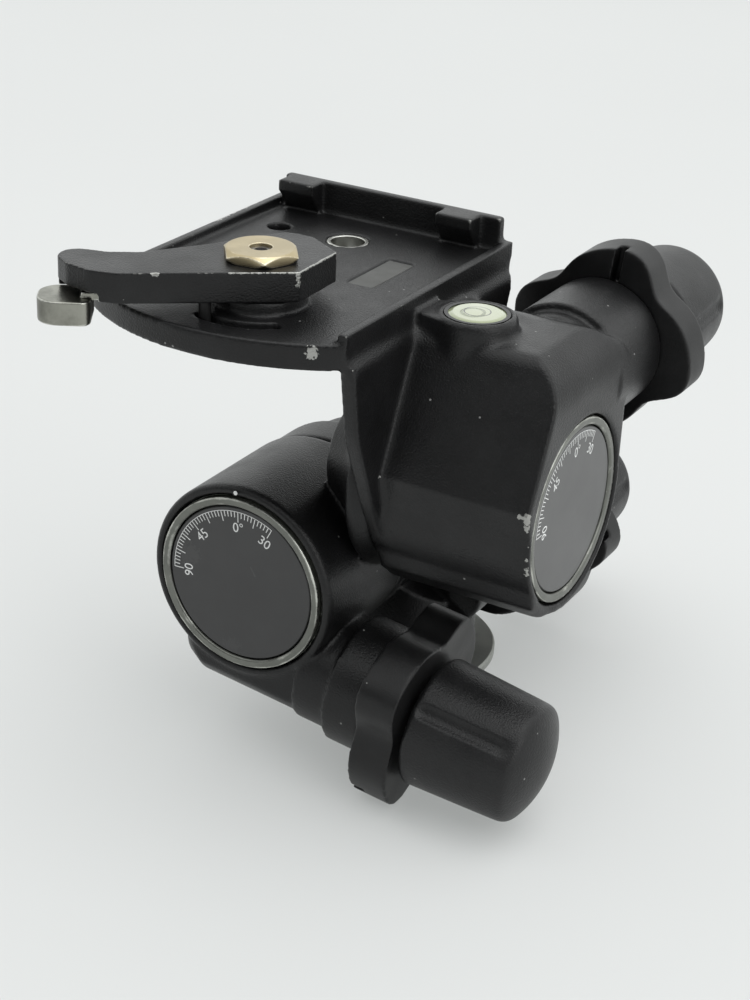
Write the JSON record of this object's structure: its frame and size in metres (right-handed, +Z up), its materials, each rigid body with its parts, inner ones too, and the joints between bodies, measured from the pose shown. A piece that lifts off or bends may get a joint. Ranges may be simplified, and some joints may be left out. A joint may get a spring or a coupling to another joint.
{
  "type": "geared tripod head",
  "caption": "Geared camera tripod head with pan and two tilt axes, fluted drive knobs, quick-release tray, clamp lever and bubble level.",
  "frame": {"origin": "centre of the base disc's underside, at the mouth of the tripod thread", "axes": "+Z up the pan axis, +X towards the upper dial, -Y towards the lower dial"},
  "size_m": [0.1309, 0.1926, 0.1487],
  "materials": {
    "black_paint": "semi-gloss black paint with a fine crinkle on cast aluminium",
    "bare_steel": "bare turned metal",
    "screw_steel": "zinc plated steel",
    "spring_steel": "spring wire",
    "brass": "dull brass",
    "bronze": "sintered bronze",
    "alloy": "machined aluminium",
    "knob_plastic": "moulded pebble grain",
    "ring_plastic": "smooth satin",
    "dial_face": "printed scale",
    "bezel_grey": "grey-green satin",
    "level_glass": "pale yellow-green fluid under a clear window",
    "plate_grey": "blank label plate"
  },
  "bodies": {
    "base": {"base_plate": "bare_steel", "base_screws": "screw_steel", "pan_post": "bare_steel", "pan_wheel": "brass"},
    "lower": {"lower_housing": "black_paint", "pan_bushes": "bronze", "pan_cover": "alloy", "cover_screws": "screw_steel", "side_shaft": "bare_steel", "shaft_screw": "screw_steel", "rear_cap": "knob_plastic", "side_wheel": "brass", "side_carrier": "alloy", "side_carrier_screws": "screw_steel", "side_dial": "dial_face", "pan_ring_spring": "spring_steel"},
    "middle": {"mid_housing": "black_paint", "side_bushes": "bronze", "side_bezel": "bezel_grey", "side_ring_spring": "spring_steel", "front_shaft": "bare_steel", "front_shaft_screws": "screw_steel", "front_wheel": "brass", "front_carrier": "alloy", "front_carrier_screws": "screw_steel", "front_dial": "dial_face"},
    "top": {"top_housing": "black_paint", "front_bushes": "bronze", "front_bezel": "bezel_grey", "front_ring_spring": "spring_steel", "level_vial": "level_glass", "level_cup": "ring_plastic", "thread_insert": "bare_steel", "blank_plate": "plate_grey", "lever_post": "bare_steel", "lever_nut": "brass", "lever_spring": "spring_steel"},
    "lever": {"clamp_lever": "black_paint", "stop_pin": "bare_steel", "catch_pin": "bare_steel", "catch_spring": "spring_steel"},
    "catch": {"catch_tab": "bare_steel"},
    "pan_ring": {"pan_sleeve": "alloy", "pan_worm_bushes": "bronze", "pan_ring": "ring_plastic"},
    "pan_knob": {"pan_worm": "bare_steel", "pan_knob": "knob_plastic", "pan_knob_pin": "screw_steel"},
    "side_ring": {"side_sleeve": "alloy", "side_worm_bushes": "bronze", "side_ring": "ring_plastic"},
    "side_knob": {"side_worm": "bare_steel", "side_knob": "knob_plastic", "side_knob_pin": "screw_steel"},
    "front_ring": {"front_sleeve": "alloy", "front_worm_bushes": "bronze", "front_ring": "ring_plastic"},
    "front_knob": {"front_worm": "bare_steel", "front_knob": "knob_plastic", "front_knob_pin": "screw_steel"}
  },
  "joints": [
    {"name": "pan", "type": "hinge", "parent": "base", "child": "lower", "pos_m": [0, 0, 0], "axis": [0, 0, 1], "continuous": true},
    {"name": "side_tilt", "type": "hinge", "parent": "lower", "child": "middle", "pos_m": [-0.0115, 0, 0.0485], "axis": [0, 1, 0], "range_deg": [-90, 30]},
    {"name": "front_tilt", "type": "hinge", "parent": "middle", "child": "top", "pos_m": [0, -0.0352, 0.0792], "axis": [1, 0, 0], "range_deg": [-30, 85]},
    {"name": "pan_release", "type": "hinge", "parent": "lower", "child": "pan_ring", "pos_m": [0.02285, 0, 0.0278], "axis": [0, 1, 0], "range_deg": [0, 35], "stiffness_Nm_per_rad": 0.15},
    {"name": "pan_knob_turn", "type": "hinge", "parent": "pan_ring", "child": "pan_knob", "pos_m": [0.02285, 0, 0.031], "axis": [0, 1, 0], "continuous": true},
    {"name": "side_release", "type": "hinge", "parent": "middle", "child": "side_ring", "pos_m": [-0.01429, -0.0556, 0.02582], "axis": [0.9925, 0, -0.1219], "range_deg": [0, 35], "stiffness_Nm_per_rad": 0.15},
    {"name": "side_knob_turn", "type": "hinge", "parent": "side_ring", "child": "side_knob", "pos_m": [-0.01429, -0.0588, 0.02582], "axis": [0.9925, 0, -0.1219], "range_deg": [-1426, 4186]},
    {"name": "front_release", "type": "hinge", "parent": "top", "child": "front_ring", "pos_m": [0.0518, -0.0352, 0.1073], "axis": [0, 1, 0], "range_deg": [-35, 0], "stiffness_Nm_per_rad": 0.15},
    {"name": "front_knob_turn", "type": "hinge", "parent": "front_ring", "child": "front_knob", "pos_m": [0.055, -0.0352, 0.1073], "axis": [0, 1, 0], "range_deg": [-5160, 1860]},
    {"name": "lever_swing", "type": "hinge", "parent": "top", "child": "lever", "pos_m": [-0.0085, -0.067, 0.13], "axis": [0, 0, 1], "range_deg": [0, 60], "stiffness_Nm_per_rad": 0.05, "springref_deg": -11.46},
    {"name": "catch_swing", "type": "hinge", "parent": "lever", "child": "catch", "pos_m": [-0.027, -0.088, 0.132], "axis": [0, 0, 1], "range_deg": [0, 12], "stiffness_Nm_per_rad": 0.01, "springref_deg": -11.46}
  ],
  "couplings": [
    {"joint": "pan_knob_turn", "follows": "pan", "ratio": 46},
    {"joint": "side_knob_turn", "follows": "side_tilt", "ratio": -46},
    {"joint": "front_knob_turn", "follows": "front_tilt", "ratio": -60}
  ]
}
